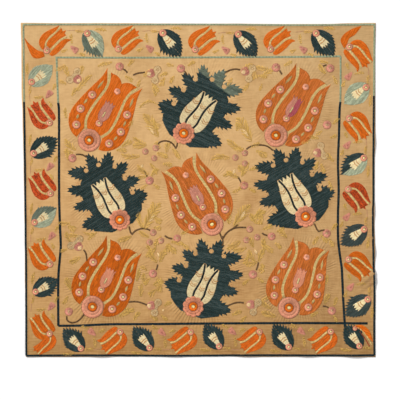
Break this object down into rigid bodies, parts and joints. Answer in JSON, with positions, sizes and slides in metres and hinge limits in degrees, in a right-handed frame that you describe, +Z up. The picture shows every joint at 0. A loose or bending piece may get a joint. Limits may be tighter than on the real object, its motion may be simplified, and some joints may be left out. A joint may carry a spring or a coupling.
{
  "type": "embroidered wrapping cloth",
  "caption": "Nearly square linen wrapping cloth laid flat, with a narrow turned hem and low ripples at its edges, covered in silk embroidery of tulips and serrated leaves.",
  "frame": {"origin": "under the middle of the laid-out cloth, on the surface that it rests on", "axes": "+Z up out of the embroidered face, +X to the right and +Y to the top of the cloth as the picture shows it from above"},
  "size_m": [1.064, 1.002, 0.0079],
  "materials": {
    "linen": "matt plain-woven undyed linen, honey tan with age, lighter towards the top",
    "silk_embroidery": "loosely twisted silk threads laid side by side, with a soft sheen along each thread"
  },
  "bodies": {
    "root": {"ground_cloth": "linen"}
  },
  "joints": []
}
